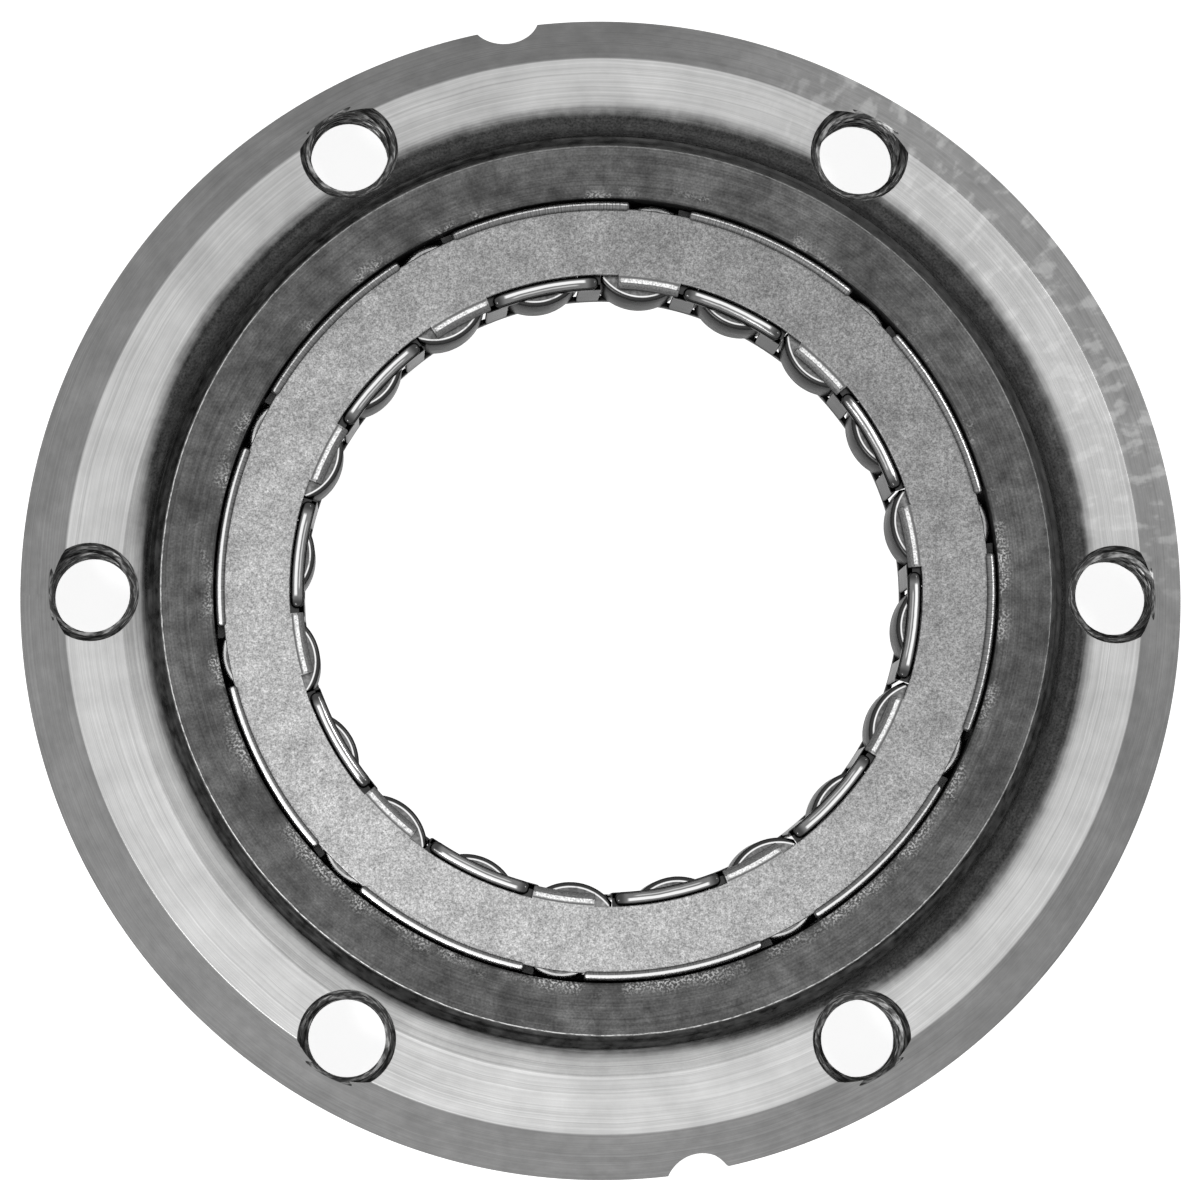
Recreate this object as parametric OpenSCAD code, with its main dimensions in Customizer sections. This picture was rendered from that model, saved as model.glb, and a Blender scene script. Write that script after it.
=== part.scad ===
// Sprag clutch of an engine starter: a flanged outer race with a double-cage sprag cartridge in its bore.
// The axis is +Z, the hub points up and the back face lies on z = 0. Angles run anticlockwise from +X.
// The hub of the starter gear, which isn't part of the clutch, turns inside the sprags.

/* [Outer race] */
// Radial width of the flange outside the hub
flange_w = 11.25; // [11:0.05:12]
// Thickness of the flange at its turned face
flange_t = 9; // [8:0.1:10]
// Height of the straight rim
rim_t = 3.8; // [2.5:0.1:5]
// Radial width of the cone between rim and turned face
bevel_w = 4; // [3:0.1:5]
// Height of the hub's top above the face of the outer cage
hub_rise = 1; // [0.6:0.1:2]
// Thickness of the hub's wall
hub_wall = 5.56; // [5:0.01:6]
// Fillet where the hub meets the flange
hub_fillet = 2.6; // [1.5:0.1:2.8]
// Radial width of the bevel at the top of the hub
hub_edge_w = 1.25; // [0.5:0.05:2]
// Height of the bevel at the top of the hub
hub_edge_h = 2.4; // [1:0.1:2.8]
// Chamfer of the rim's rear edge
rim_chamfer = 0.5; // [0.2:0.1:1]
// Chamfer of the bore's front edge
bore_chamfer = 0.2; // [0.1:0.05:0.4]

/* [Bolt holes] */
// Number of tapped holes
bolt_n = 6; // [3:1:8]
// Distance of the bolt circle from the hub's wall
bolt_place = 5; // [4.8:0.05:5.5]
// Major diameter of the thread
bolt_d = 8; // [6:0.5:8]
// Diameter of the countersunk mouth of a hole
bolt_mouth_d = 8.9; // [8.6:0.1:9.2]
// Depth of the countersunk mouth
bolt_mouth_depth = 0.8; // [0.4:0.1:1.2]

/* [Rim scallops] */
// Angle of the first scallop, which has a twin across the flange
scallop_angle = 99.5; // [95:0.5:105]
// Diameter of the cutter
scallop_d = 6; // [4:0.5:8]
// Depth of the scallop
scallop_depth = 1.65; // [0.8:0.05:2]

/* [Sprag tracks] */
// Diameter of the race's bore, the outer track
outer_track_d = 66.38; // [66.3:0.01:66.5]
// Diameter of the hub that the clutch is made for, the inner track, as a share of the outer one
inner_track_share = 0.7492; // [0.747:0.0002:0.75]

/* [Sprags] */
// Number of pairs of sprags
sprag_pairs = 10; // [8:1:10]
// Angle of the first sprag's line
sprag_angle = 11.2; // [0:0.1:18]
// Length of a sprag along the axis
sprag_len = 7.5; // [6:0.1:7.8]
// Height of the sprags' rear ends above the back face
sprag_rear_z = 4.7; // [4.2:0.1:5]
// Place of the cams' centres between the tracks, from the inner one, as a share
cam_place = 0.533; // [0.52:0.001:0.545]
// Distance of the outer cam's centre from the sprag's line, clockwise
outer_cam_shift = 0.3; // [0.2:0.01:0.4]
// Distance of the inner cam's centre from the sprag's line, anticlockwise
inner_cam_shift = 0.42; // [0.3:0.01:0.5]
// Clearance of a resting sprag to the outer track
outer_cam_gap = 0.09; // [0.05:0.01:0.12]
// Reach of a resting sprag past the inner track, which the hub takes up
inner_cam_bite = 0.06; // [0.03:0.01:0.1]
// Width of a head, as a share of its cam's diameter
head_share = 0.711; // [0.65:0.001:0.72]
// Width of the waist between the heads, as a share of the space between the tracks
waist_share = 0.36; // [0.31:0.01:0.38]
// Radius of the hollow on each side of the waist, as a share of that space
hollow_share = 0.252; // [0.24:0.001:0.275]
// Chamfer round the ends of both cams
cam_chamfer = 0.22; // [0.1:0.02:0.3]
// Depth of the line that a sprag rocks about, under the outer track
rock_depth = 0.49; // [0.4:0.01:0.7]
// Angle that a sprag rolls back when the hub overruns
roll_back = 6; // [4:0.5:7]

/* [Outer cage] */
// Thickness of its sheet
outer_sheet = 0.6; // [0.5:0.05:0.65]
// Clearance of the band to the race's bore
outer_cage_gap = 0.14; // [0.1:0.01:0.18]
// Play of an outer head in its window, round the band
outer_window_play = 0.1; // [0.1:0.01:0.3]
// Radius of the corners of all windows
window_corner = 0.6; // [0.3:0.05:0.8]
// Clearance between a window and the ends of its sprag
window_end_gap = 0.2; // [0.1:0.05:0.25]
// Radial width of the rolled lip
lip_w = 0.8; // [0.7:0.05:0.9]
// Height of the lip above the cage's face
lip_rise = 0.45; // [0.3:0.05:0.5]
// Angle of the gap between two lips
lip_gap_angle = 8.8; // [7:0.1:10]
// Distance from the lips' outside to the face's edge in a gap
lip_gap_depth = 0.85; // [0.8:0.05:1]
// Angle from a sprag's line to the middle of its lip gap and of its tab, clockwise
front_lead = 1.1; // [0.6:0.1:1.4]
// Angle that an inner tab covers
tab_angle = 11.5; // [9:0.1:11.5]
// Depth that a tab's end is turned down below the face
tab_drop = 0.4; // [0.2:0.05:0.45]
// Reach of a tab inside the face's inner edge
tab_reach = 1.1; // [0.9:0.05:1.1]
// Radius outside the bend of a tab
tab_bend = 0.65; // [0.62:0.01:0.8]

/* [Cage seat] */
// Radial width of the seat in the back of the race
seat_w = 1.75; // [1.4:0.05:2.5]
// Depth of the seat
seat_depth = 1.3; // [1.2:0.1:2]
// Radial clearance of the cage's rear flange in the seat
seat_side_gap = 0.3; // [0.1:0.05:0.4]
// Height of the rear flange above the back face
seat_rear_gap = 0.3; // [0.1:0.05:0.4]

/* [Inner cage] */
// Thickness of its sheet
inner_sheet = 0.5; // [0.4:0.05:0.6]
// Clearance of the band to the hub's track
inner_cage_gap = 0.69; // [0.6:0.01:0.75]
// Play of an inner head in its window, round the band
inner_window_play = 0.45; // [0.2:0.05:0.6]
// Height of the rail behind the windows
inner_rail_h = 0.9; // [0.6:0.1:1.4]
// Radial width of a rolled lug
lug_w = 1.1; // [0.9:0.05:1.1]
// Clearance of the lugs to the face of the outer cage
lug_gap = 0.1; // [0.08:0.01:0.2]
// Angle between a lug and the tab that stops it
stop_angle = 1; // [0.9:0.05:1.5]

/* [Ribbon spring] */
// Thickness of the strip
ribbon_t = 0.15; // [0.1:0.01:0.2]
// Height of each rail
ribbon_rail_h = 0.5; // [0.4:0.05:0.6]
// Clearance of a rail to the sprags' ends and to the face of the outer cage
ribbon_rail_gap = 0.15; // [0.1:0.01:0.2]
// Width of the bar between two sprags, as a share of their pitch
ribbon_bar_share = 0.2; // [0.16:0.01:0.24]
// Height of the tongue that pushes a sprag
tongue_h = 3; // [2:0.1:4]
// Clearance between a tongue and its sprag
tongue_gap = 0.15; // [0.1:0.01:0.2]

/* [Hidden] */
sprag_n = 2 * sprag_pairs;
pitch = 360 / sprag_n;
SPRAGS = [for (i = [1:sprag_n]) str("sprag_", i < 10 ? "0" : "", i)];

// Overshoot of a cutter past the surface that it cuts
past = 1;
// Clearance of the hollow cutter that rounds the ends of a rolled edge
end_step = 0.1;
// Height of a lug's foot above the windows
lug_foot_gap = 0.1;
// Angle that the ends of the lugs stand back from the edges of the windows
lug_setback = 0.15;
// Straight land between a hole's countersink and the turned face
mouth_land = 0.05;
// Distances from the cams' centres to the rear of each head, as shares of the space between the tracks
outer_head_rear = 0.18;
inner_head_rear = 0.192;
// Slope at the rear corners of the heads, as a share of that space
head_slope_share = 0.084;

// The race grows outwards from its bore
bore_r = outer_track_d / 2;
seat_r = bore_r + seat_w;
hub_r = bore_r + hub_wall;
flange_r = hub_r + flange_w;
bolt_circle_r = hub_r + bolt_place;

// The space between the tracks, and what stands in it
inner_track_r = bore_r * inner_track_share;
space = bore_r - inner_track_r;
cam_centre_r = inner_track_r + cam_place * space;
rock_r = bore_r - rock_depth;

// Levels along the axis, from the sprags outwards
sprag_front_z = sprag_rear_z + sprag_len;
window_rear_z = sprag_rear_z - window_end_gap;
window_front_z = sprag_front_z + window_end_gap;
face_rear_z = sprag_front_z + 2 * ribbon_rail_gap + ribbon_rail_h;
face_front_z = face_rear_z + outer_sheet;
race_h = face_front_z + hub_rise;
// Foot of the lip gaps, half a radius below the round corners of the windows
lip_gap_z = window_front_z - 1.5 * window_corner;

// Radii of the cams and of both cages
outer_cam_r = bore_r - outer_cam_gap - norm([outer_cam_shift, cam_centre_r]);
inner_cam_r = norm([inner_cam_shift, cam_centre_r]) - inner_track_r + inner_cam_bite;
band_out_r = bore_r - outer_cage_gap;
band_in_r = band_out_r - outer_sheet;
inner_band_in_r = inner_track_r + inner_cage_gap;
inner_band_out_r = inner_band_in_r + inner_sheet;
lug_out_r = inner_band_in_r + lug_w;
face_in_r = lug_out_r + lug_gap;
tab_in_r = face_in_r - tab_reach;

// The heads of a sprag, as widths and as radii on its own line, and the waist between them
outer_head_w = 2 * head_share * outer_cam_r;
inner_head_w = 2 * head_share * inner_cam_r;
outer_head_in_r = cam_centre_r + outer_head_rear * space;
inner_head_out_r = cam_centre_r - inner_head_rear * space;
head_slope = head_slope_share * space;
waist_w = waist_share * space;
waist_hollow_r = hollow_share * space;

// The windows that the heads stand in
outer_window_w = outer_head_w + outer_window_play;
inner_window_w = inner_head_w + inner_window_play;

// A point of a sprag, as [clockwise, outwards] on its line, once the sprag has rolled back
function rolled(p) = [
    p.x * cos(roll_back) + (p.y - rock_r) * sin(roll_back),
    rock_r - p.x * sin(roll_back) + (p.y - rock_r) * cos(roll_back)
];

// Angle of such a point from the sprag's line, anticlockwise, seen from the clutch's axis
function off_line(p) = -atan2(p.x, p.y);

outer_cam_centre = [outer_cam_shift, cam_centre_r];
inner_cam_centre = [-inner_cam_shift, cam_centre_r];

// Middles of the windows from a sprag's line: outer ones allow for its roll, inner ones travel with it
outer_window_lead = (off_line(outer_cam_centre) + off_line(rolled(outer_cam_centre))) / 2;
inner_window_lead = off_line(inner_cam_centre);

// Angles of the lips, tabs and lugs that belong to an odd sprag, from its line
lip_gap_end = -front_lead + lip_gap_angle / 2;
tab_start = -front_lead - tab_angle / 2;
lug_start = inner_window_lead + asin(inner_window_w / 2 / inner_band_in_r) + lug_setback;
lug_end = tab_start + 2 * pitch - stop_angle;

// Turns a part drawn at twelve o'clock to the line of sprag i
module at_sprag(i, lead = 0) {
    rotate([0, 0, sprag_angle + (i - 1) * pitch + lead - 90]) children();
}

// Repeats a part drawn on +X at the odd sprags, where the front is open
module at_open_windows(lead = 0) {
    for (i = [1:2:sprag_n]) {
        rotate([0, 0, sprag_angle + (i - 1) * pitch + lead]) children();
    }
}

// A ring of rectangular section, whole or a sector from +X
module ring(r_in, r_out, z_low, z_high, angle = 360) {
    rotate_extrude(angle = angle, $fn = 180) {
        translate([r_in, z_low]) square([r_out - r_in, z_high - z_low]);
    }
}

// Section of a rolled edge: straight flanks and a round top
module rolled_section(w, h) {
    translate([-w / 2, 0]) square([w, h - w / 2]);
    translate([0, h - w / 2]) circle(d = w, $fn = 48);
}

// Cutter for the gap between two rolled edges, hollow where it rounds their ends in plan
module gap_cutter(r_mid, w, r_in, z_low, angle) {
    end_r = w / 2 + end_step;
    end_angle = asin(end_r / r_mid);
    h = race_h + past - z_low;
    difference() {
        rotate([0, 0, -end_angle]) {
            ring(r_in, r_mid + w, z_low, z_low + h, angle + 2 * end_angle);
        }
        for (a = [-end_angle, angle + end_angle]) {
            rotate([0, 0, a]) translate([r_mid, 0, z_low - past]) {
                cylinder(r = end_r, h = h + 2 * past, $fn = 48);
            }
        }
    }
}

// Cutter for a window at twelve o'clock, with round corners
module window_cutter(w, r_in, r_out, z_low, z_high) {
    h = z_high - z_low;
    translate([0, r_out + past, z_low]) rotate([90, 0, 0]) {
        linear_extrude(r_out - r_in + 2 * past) {
            translate([-w / 2 + window_corner, 0]) square([w - 2 * window_corner, h]);
            translate([-w / 2, window_corner]) square([w, h - 2 * window_corner]);
            for (x = [-1, 1], y = [window_corner, h - window_corner]) {
                translate([x * (w / 2 - window_corner), y]) circle(window_corner, $fn = 32);
            }
        }
    }
}

// Section of the race, with the fillet at the foot of the hub
module race_section() {
    polygon([
        [seat_r, 0],
        [flange_r - rim_chamfer, 0],
        [flange_r, rim_chamfer],
        [flange_r, rim_t],
        [flange_r - bevel_w, flange_t],
        [hub_r, flange_t],
        [hub_r, race_h - hub_edge_h],
        [hub_r - hub_edge_w, race_h],
        [bore_r + bore_chamfer, race_h],
        [bore_r, race_h - bore_chamfer],
        [bore_r, seat_depth],
        [seat_r, seat_depth]
    ]);
    translate([hub_r, flange_t]) difference() {
        square(hub_fillet);
        translate([hub_fillet, hub_fillet]) circle(hub_fillet, $fn = 96);
    }
}

// Cutter of one bolt hole: bore, countersunk mouth, and room for a bolt's collar in the fillet above
module bolt_hole() {
    rotate_extrude($fn = 64) polygon([
        [0, -past],
        [bolt_d / 2, -past],
        [bolt_d / 2, flange_t - bolt_mouth_depth],
        [bolt_mouth_d / 2, flange_t - mouth_land],
        [bolt_mouth_d / 2, flange_t + hub_fillet + past],
        [0, flange_t + hub_fillet + past]
    ]);
}

module outer_race() {
    color([0.62, 0.62, 0.61]) difference() {
        rotate_extrude($fn = 180) race_section();
        for (i = [0:bolt_n - 1]) {
            rotate([0, 0, i * 360 / bolt_n]) translate([bolt_circle_r, 0, 0]) bolt_hole();
        }
        for (side = [0, 180]) {
            rotate([0, 0, scallop_angle + side]) {
                translate([flange_r + scallop_d / 2 - scallop_depth, 0, -past]) {
                    cylinder(d = scallop_d, h = flange_t + 2 * past, $fn = 64);
                }
            }
        }
    }
}

// Section of an inner tab, from inside the face to its turned-down end
module tab_section() {
    bend_r = tab_in_r + tab_bend;
    bend_z = face_front_z - tab_bend;
    translate([bend_r, face_rear_z]) square([face_in_r - bend_r + outer_sheet, outer_sheet]);
    intersection() {
        difference() {
            translate([bend_r, bend_z]) circle(tab_bend, $fn = 48);
            translate([bend_r, bend_z]) circle(tab_bend - outer_sheet, $fn = 48);
        }
        translate([tab_in_r, bend_z]) square([tab_bend, tab_bend]);
    }
    translate([tab_in_r, face_rear_z - tab_drop]) {
        square([outer_sheet, bend_z - face_rear_z + tab_drop]);
    }
}

// Section of the outer cage: rear flange, band, face and rolled lip
module outer_cage_section() {
    translate([band_in_r, seat_rear_gap]) {
        square([outer_sheet, face_front_z - seat_rear_gap]);
        square([seat_r - seat_side_gap - band_in_r, outer_sheet]);
    }
    translate([face_in_r, face_rear_z]) square([band_out_r - face_in_r, outer_sheet]);
    translate([band_out_r - lip_w / 2, face_rear_z]) {
        rolled_section(lip_w, face_front_z + lip_rise - face_rear_z);
    }
}

module outer_cage() {
    color([0.7, 0.69, 0.66]) {
        difference() {
            rotate_extrude($fn = 180) outer_cage_section();
            for (i = [1:sprag_n]) {
                at_sprag(i, outer_window_lead) {
                    window_cutter(outer_window_w, band_in_r, band_out_r, window_rear_z, window_front_z);
                }
            }
            at_open_windows(lip_gap_end - lip_gap_angle) {
                gap_cutter(band_out_r - lip_w / 2, lip_w, band_out_r - lip_gap_depth, lip_gap_z,
                    lip_gap_angle);
            }
        }
        at_open_windows(tab_start) {
            rotate_extrude(angle = tab_angle, $fn = 180) tab_section();
        }
    }
}

// Section of the inner cage: band and rolled lug
module inner_cage_section() {
    translate([inner_band_in_r, window_rear_z - inner_rail_h]) {
        square([inner_sheet, face_rear_z - window_rear_z + inner_rail_h]);
    }
    translate([inner_band_in_r + lug_w / 2, window_front_z + lug_foot_gap]) {
        rolled_section(lug_w, face_front_z - window_front_z - lug_foot_gap);
    }
}

module inner_cage() {
    color([0.75, 0.75, 0.76]) difference() {
        rotate_extrude($fn = 180) inner_cage_section();
        for (i = [1:sprag_n]) {
            // Between two lugs a window is open at the front
            open_h = i % 2 == 1 ? 3 * past : 0;
            at_sprag(i, inner_window_lead) {
                window_cutter(inner_window_w, inner_band_in_r, inner_band_out_r,
                    window_rear_z, window_front_z + open_h);
            }
        }
        at_open_windows(lug_end - 2 * pitch) {
            gap_cutter(inner_band_in_r + lug_w / 2, lug_w, inner_band_in_r - 2 * past, window_front_z,
                lug_start - lug_end + 2 * pitch);
        }
    }
}

// Window of the strip for one sprag, from +X between its two bars, with the tongue left standing
module ribbon_window(low_z, high_z, angle) {
    mid_z = (low_z + high_z) / 2;
    tongue_tip = angle / 2 + asin((waist_w / 2 + tongue_gap) / cam_centre_r);
    in_r = cam_centre_r - ribbon_t / 2 - past;
    out_r = cam_centre_r + ribbon_t / 2 + past;
    difference() {
        ring(in_r, out_r, low_z, high_z, angle);
        rotate([0, 0, tongue_tip]) {
            ring(in_r - past, out_r + past, mid_z - tongue_h / 2, mid_z + tongue_h / 2, angle);
        }
    }
}

module ribbon_spring() {
    low_z = sprag_rear_z - ribbon_rail_gap;
    high_z = sprag_front_z + ribbon_rail_gap;
    window_angle = pitch * (1 - ribbon_bar_share);
    color([0.45, 0.46, 0.5]) difference() {
        ring(cam_centre_r - ribbon_t / 2, cam_centre_r + ribbon_t / 2,
            low_z - ribbon_rail_h, high_z + ribbon_rail_h);
        for (i = [1:sprag_n]) {
            at_sprag(i, 90 - window_angle / 2) ribbon_window(low_z, high_z, window_angle);
        }
    }
}

// A full cam with chamfered ends
module cam(r) {
    rotate_extrude($fn = 96) {
        polygon([
            [0, 0],
            [r - cam_chamfer, 0],
            [r, cam_chamfer],
            [r, sprag_len - cam_chamfer],
            [r - cam_chamfer, sprag_len],
            [0, sprag_len]
        ]);
    }
}

// The outer head at twelve o'clock: the part of the outer cam between two flat sides
module outer_head() {
    side = outer_head_w / 2;
    intersection() {
        translate(outer_cam_centre) cam(outer_cam_r);
        translate([outer_cam_centre.x, 0, 0]) linear_extrude(sprag_len) polygon([
            [-side, bore_r],
            [side, bore_r],
            [side, outer_head_in_r + head_slope],
            [side - head_slope, outer_head_in_r],
            [-side + head_slope, outer_head_in_r],
            [-side, outer_head_in_r + head_slope]
        ]);
    }
}

// The inner head at twelve o'clock
module inner_head() {
    side = inner_head_w / 2;
    low = inner_track_r - past;
    intersection() {
        translate(inner_cam_centre) cam(inner_cam_r);
        translate([inner_cam_centre.x, 0, 0]) linear_extrude(sprag_len) polygon([
            [-side, low],
            [side, low],
            [side, inner_head_out_r - head_slope],
            [side - head_slope, inner_head_out_r],
            [-side + head_slope, inner_head_out_r],
            [-side, inner_head_out_r - head_slope]
        ]);
    }
}

// The waist at twelve o'clock, hollow on both sides
module waist() {
    side = outer_head_w / 2 - head_slope;
    mid_r = (outer_head_in_r + inner_head_out_r) / 2;
    difference() {
        translate([-side, inner_head_out_r - head_slope, 0]) {
            cube([2 * side, outer_head_in_r - inner_head_out_r + 2 * head_slope, sprag_len]);
        }
        for (x = [-1, 1]) {
            translate([x * (waist_w / 2 + waist_hollow_r), mid_r, -past]) {
                cylinder(r = waist_hollow_r, h = sprag_len + 2 * past, $fn = 64);
            }
        }
    }
}

module sprag(i) {
    color([0.5, 0.5, 0.5]) at_sprag(i) translate([0, 0, sprag_rear_z]) {
        outer_head();
        inner_head();
        waist();
    }
}

outer_race();
outer_cage();
inner_cage();
ribbon_spring();
for (i = [1:sprag_n]) {
    sprag(i);
}
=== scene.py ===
# %% [markdown]
# # Dressing a sprag clutch
# A sprag clutch turns freely one way and locks the other way. This one is made of a flanged steel ring,
# two pressed cages, a ribbon spring and twenty hardened sprags.
# The CAD model already has every piece at its real size and on its own moving body. Here each piece gets
# the look of the real one. We load the model first, because every new piece has to lie where CAD put it.

# %% Load the fixed frame
import math

import bmesh
import bpy
import numpy as np
from mathutils import Matrix, Vector


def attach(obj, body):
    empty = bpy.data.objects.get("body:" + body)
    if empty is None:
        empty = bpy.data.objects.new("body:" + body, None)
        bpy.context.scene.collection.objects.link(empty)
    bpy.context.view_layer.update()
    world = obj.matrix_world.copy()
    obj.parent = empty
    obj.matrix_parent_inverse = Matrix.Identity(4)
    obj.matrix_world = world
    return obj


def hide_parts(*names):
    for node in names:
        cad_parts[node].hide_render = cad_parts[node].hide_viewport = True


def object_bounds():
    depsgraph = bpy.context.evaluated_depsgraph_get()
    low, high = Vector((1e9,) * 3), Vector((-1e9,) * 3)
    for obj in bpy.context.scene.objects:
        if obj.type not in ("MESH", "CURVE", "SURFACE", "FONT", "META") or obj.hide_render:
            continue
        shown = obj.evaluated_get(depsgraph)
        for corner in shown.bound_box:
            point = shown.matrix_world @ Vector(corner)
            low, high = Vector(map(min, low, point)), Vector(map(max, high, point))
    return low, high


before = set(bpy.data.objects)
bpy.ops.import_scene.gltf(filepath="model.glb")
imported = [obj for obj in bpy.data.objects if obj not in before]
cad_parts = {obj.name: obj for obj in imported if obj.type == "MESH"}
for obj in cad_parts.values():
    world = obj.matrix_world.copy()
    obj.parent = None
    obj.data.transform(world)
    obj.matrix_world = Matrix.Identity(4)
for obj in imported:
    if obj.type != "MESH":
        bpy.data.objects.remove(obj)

cad_low, cad_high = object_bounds()
spans = [round(1000 * (high - low), 2) for low, high in zip(cad_low, cad_high)]
print("nodes:", len(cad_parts), "box in mm:", spans)

# %% [markdown]
# ## Sizes
# The numbers are in millimetres, as on a drawing, and each mesh is scaled to metres when it is made.
# The axis is Z, the back face lies on z = 0, and angles run anticlockwise from X. The sizes here are the ones
# that a shape and its finish share, so that a band of colour lies exactly on the face it belongs to.

# %% Sizes of the cartridge, which repeats round the axis
MM = 0.001
SPRAG_COUNT = 20
FRONT_COUNT = SPRAG_COUNT // 2
PITCH = 360 / SPRAG_COUNT
FRONT_STEP = 360 / FRONT_COUNT
FIRST_LINE = 11.2    # the angle of the line through the middle of the first sprag
TAB_MIDDLE = -1.1    # the angle from a sprag's line to the middle of the tab beside it
FACE_LOW, FACE_TOP = 13.0, 13.6
WINDOW_LOW, WINDOW_TOP = 4.5, 12.4
print("sprag lines at", [round(FIRST_LINE + PITCH * k, 1) for k in range(SPRAG_COUNT)])

# %% Sizes of the race, as radii and heights
RIM_R, RIM_TOP = 49.99, 3.8
FLANGE_R, FLANGE_TOP = 46.0, 9.0
HUB_R = 38.75
HUB_EDGE_R, HUB_TOP = 37.6, 14.6
BORE_R = 33.19
SEAT_R, SEAT_TOP = 34.94, 1.3
HOLE_COUNT = 6
HOLE_CIRCLE_R = 43.75
print("the cone falls", round(FLANGE_TOP - RIM_TOP, 2), "over", round(RIM_R - FLANGE_R, 2))

# %% [markdown]
# ## Outlines
# Turned and pressed parts are sections that are spun or swept. A sharp drawn corner never looks right in
# metal, since it catches no light, so a corner is given as (x, y, radius) and becomes a small arc.

# %% Outlines with rounded corners
def rounded(corners, step=15.0):
    """The points of a closed outline, with an arc at each corner (x, y, radius)."""
    points = []
    for k, (x, y, radius) in enumerate(corners):
        here = np.array((x, y), float)
        if radius <= 0:
            points.append(here)
            continue
        back = np.array(corners[k - 1][:2], float) - here
        ahead = np.array(corners[(k + 1) % len(corners)][:2], float) - here
        back, ahead = back / np.linalg.norm(back), ahead / np.linalg.norm(ahead)
        half = math.acos(np.clip(back @ ahead, -1, 1)) / 2
        middle = here + (back + ahead) / np.linalg.norm(back + ahead) * radius / math.sin(half)
        first = here + back * radius / math.tan(half) - middle
        side = back[0] * ahead[1] - back[1] * ahead[0]
        turn = math.copysign(math.pi - 2 * half, -side)
        steps = max(2, math.ceil(math.degrees(abs(turn)) / step))
        for a in np.linspace(0, turn, steps + 1):
            c, s = math.cos(a), math.sin(a)
            points.append(middle + (c * first[0] - s * first[1], s * first[0] + c * first[1]))
    return np.array(points)


def arc(x, y, radius, first, last, count):
    """Points on an arc, from one angle to another, in degrees."""
    angles = np.radians(np.linspace(first, last, count))
    return np.column_stack([x + radius * np.cos(angles), y + radius * np.sin(angles)])


square = rounded([(0, 0, 1), (9, 0, 1), (9, 9, 1), (0, 9, 1)])
print("a square with round corners has", len(square), "points")

# %% Changes to an outline
def inset(outline, depth):
    """The same outline, moved into the material by a small depth."""
    before, after = np.roll(outline, 1, 0), np.roll(outline, -1, 0)
    along = (after - outline) / np.linalg.norm(after - outline, axis=1)[:, None]
    behind = (outline - before) / np.linalg.norm(outline - before, axis=1)[:, None]
    mean = along + behind
    mean /= np.linalg.norm(mean, axis=1)[:, None]
    area = np.sum(outline[:, 0] * after[:, 1] - after[:, 0] * outline[:, 1])
    normal = np.column_stack([-mean[:, 1], mean[:, 0]]) * np.sign(area)
    return outline + normal * depth


def supported(outline, reach=0.08):
    """Adds a point close to both ends of each long side, which keeps flat faces flat in the shading."""
    points = []
    for here, after in zip(outline, np.roll(outline, -1, 0)):
        points.append(here)
        length = np.linalg.norm(after - here)
        if length > 4 * reach:
            step = (after - here) * reach / length
            points += [here + step, after - step]
    return np.array(points)


def quarter_arc(radius):
    """Pairs (along, in) down a quarter of a round edge, from the face to the side."""
    turns = np.radians([0, 15, 30, 45, 60, 75, 90])
    return [(radius * (1 - math.cos(t)), radius * (1 - math.sin(t))) for t in turns]


print("with support points it has", len(supported(square)))

# %% [markdown]
# ## Skins
# Every shape below is a stack of rings of points with a skin over them. A turned part closes on itself.
# A swept or lofted part is closed by its two end rings.

# %% Objects come and go
def new_object(name, data):
    """An object in the scene."""
    made = bpy.data.objects.new(name, data)
    bpy.context.scene.collection.objects.link(made)
    return made


def removed(things):
    """Takes out objects that only helped to make another."""
    for thing in things:
        bpy.data.objects.remove(thing)


# %% Skin a stack of rings
def skin(name, rings, wrap=False):
    """A closed mesh object over rings of equal length, in millimetres."""
    rings = np.array(rings, float)
    m, n, _ = rings.shape
    faces = []
    for i in range(m if wrap else m - 1):
        a, b = i * n, (i + 1) % m * n
        faces += [(a + j, a + (j + 1) % n, b + (j + 1) % n, b + j) for j in range(n)]
    if not wrap:
        faces += [tuple(range(n)), tuple(range((m - 1) * n, m * n))]
    mesh = bpy.data.meshes.new(name)
    mesh.from_pydata((rings.reshape(-1, 3) * MM).tolist(), [], faces)
    work = bmesh.new()
    work.from_mesh(mesh)
    bmesh.ops.recalc_face_normals(work, faces=work.faces)
    work.to_mesh(mesh)
    work.free()
    return new_object(name, mesh)


print("skin: ready")

# %% Turned and swept parts
def at_angle(angle, section):
    """A section of (radius, height) points, stood up at an angle round the axis."""
    a = math.radians(angle)
    return np.column_stack([section[:, 0] * math.cos(a), section[:, 0] * math.sin(a), section[:, 1]])


def at_height(outline, z):
    """An outline of (x, y) points, laid flat at a height."""
    return np.column_stack([outline, np.full(len(outline), z)])


def turned(name, corners, step=15.0, count=360):
    """A section spun round the axis, from its rounded corners."""
    section = supported(rounded(corners, step))
    return skin(name, [at_angle(k * 360 / count, section) for k in range(count)], wrap=True)


def swept(name, section_at, first, last, r_mid, end, count):
    """A section swept from one angle to another. section_at(share) draws it: share is 0 at the very end
    and 1 from the distance called end onwards."""
    length = math.radians(last - first) * r_mid
    turns = np.radians([8, 20, 35, 50, 65, 80, 90])
    near = [(end * (1 - math.cos(t)), math.sin(t)) for t in turns]
    middle = [(d, 1.0) for d in np.linspace(end, length - end, count)[1:-1]]
    marks = near + middle + [(length - d, share) for d, share in reversed(near)]
    return skin(name, [at_angle(first + math.degrees(d / r_mid), section_at(s)) for d, s in marks])


print("turned, swept: ready")

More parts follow.
